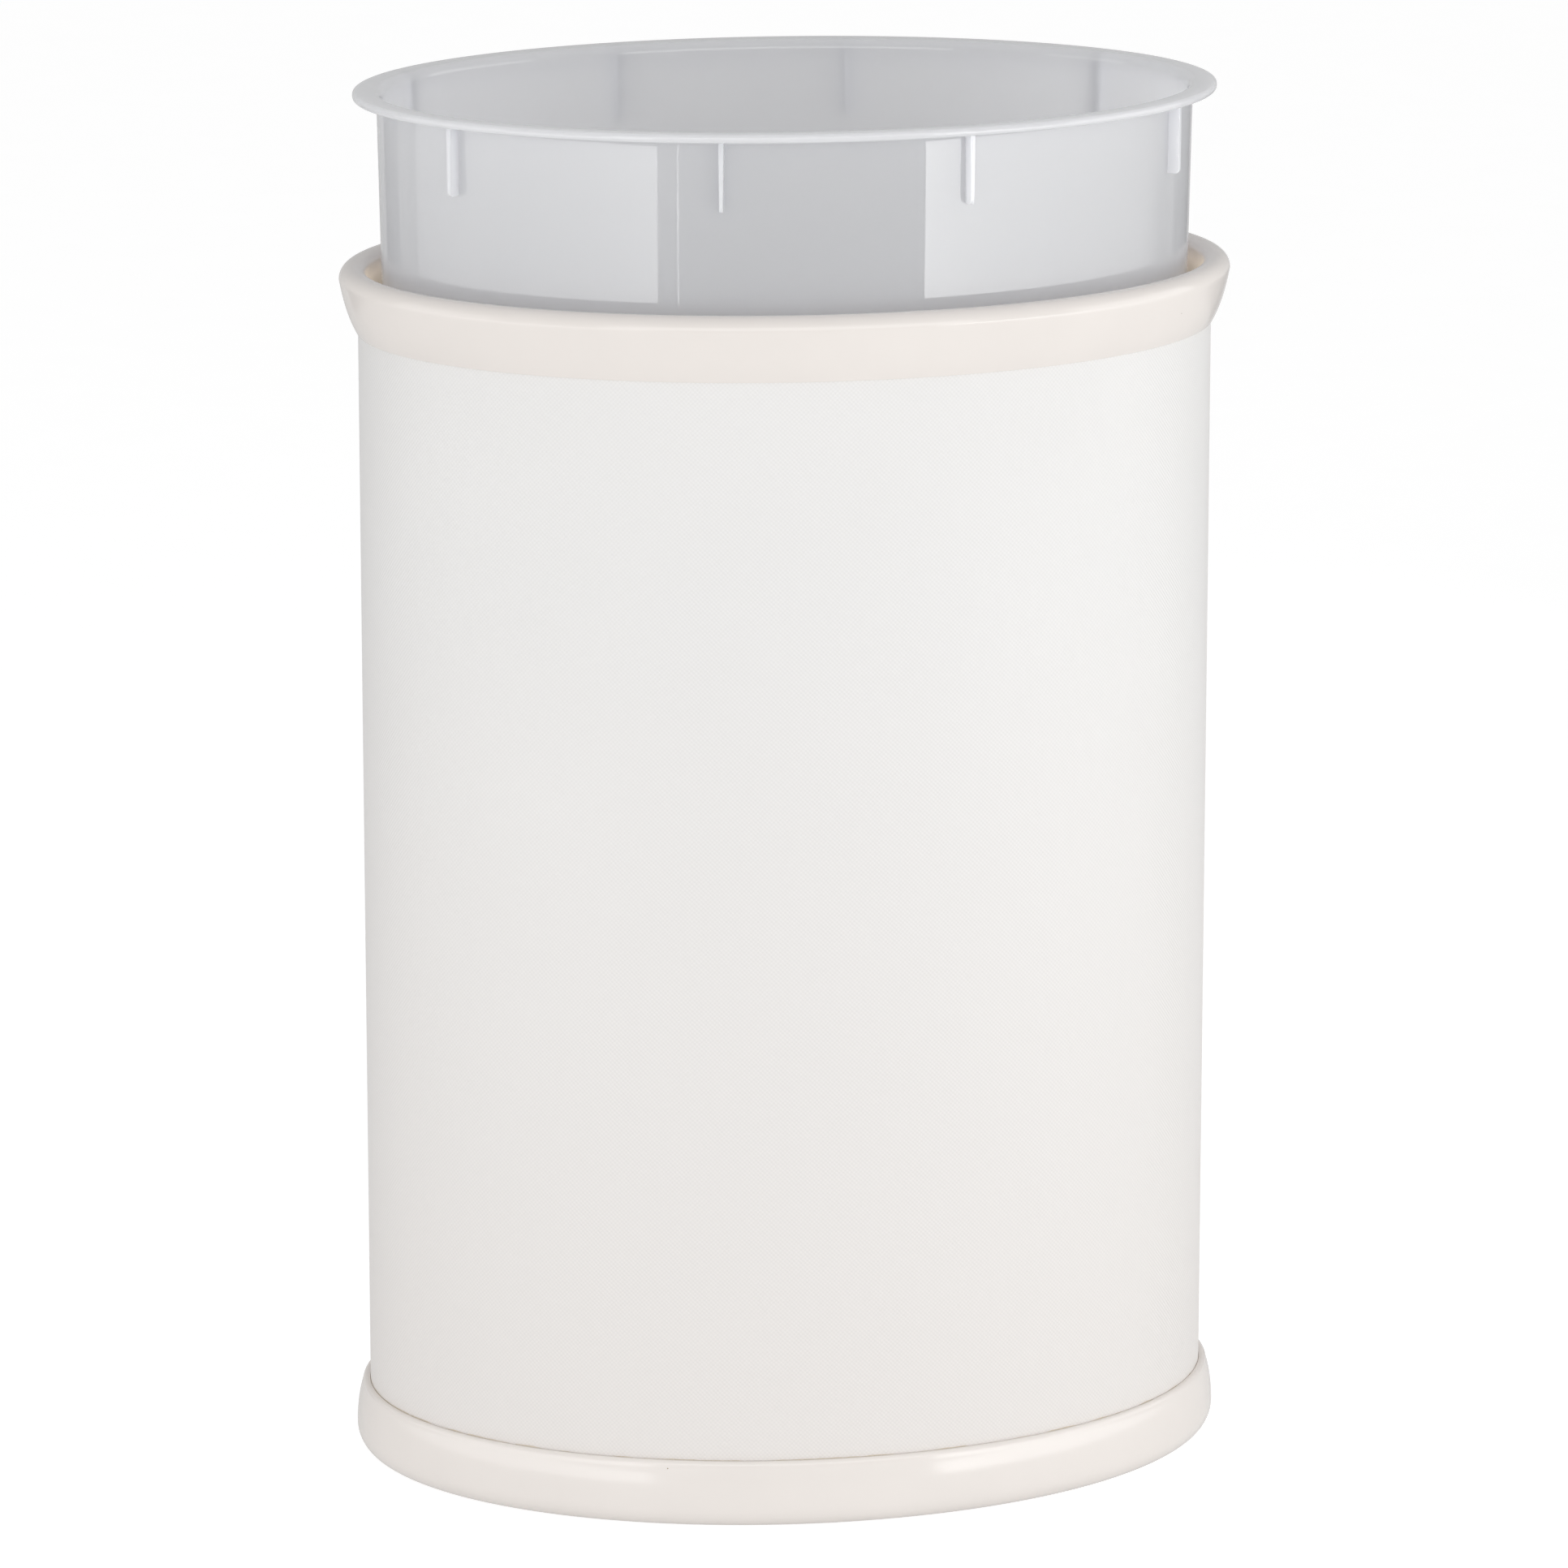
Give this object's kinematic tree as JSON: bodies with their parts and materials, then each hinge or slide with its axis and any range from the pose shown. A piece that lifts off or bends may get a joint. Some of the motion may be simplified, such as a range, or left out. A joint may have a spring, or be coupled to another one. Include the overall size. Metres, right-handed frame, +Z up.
{
  "type": "wastebasket",
  "caption": "Oval wastebasket: a straight vinyl-wrapped shell with moulded plastic trims at top and base, and a lift-out translucent liner with an overhanging rim.",
  "frame": {"origin": "on the ground, under the middle of the oval", "axes": "+Z up, X along the oval's long side, -Y towards the front; the seam is at the back, on +Y"},
  "size_m": [0.2858, 0.2178, 0.4446],
  "materials": {
    "trim_plastic": "warm cream moulded plastic, satin gloss",
    "embossed_vinyl": "off-white vinyl with a fine cross-hatched emboss",
    "fibreboard": "plain brown fibreboard",
    "kraft_strip": "glued kraft strip",
    "liner_plastic": "natural translucent polypropylene, glossy"
  },
  "bodies": {
    "shell": {"top_trim": "trim_plastic", "base_trim": "trim_plastic", "vinyl_cover": "embossed_vinyl", "board_wall": "fibreboard", "splice_strip": "kraft_strip", "floor_board": "fibreboard"},
    "liner": {"liner": "liner_plastic"}
  },
  "joints": [
    {"name": "liner_lift", "type": "slide", "parent": "shell", "child": "liner", "axis": [0, 0, 1], "range_m": [-0.0527, 0.34]}
  ]
}
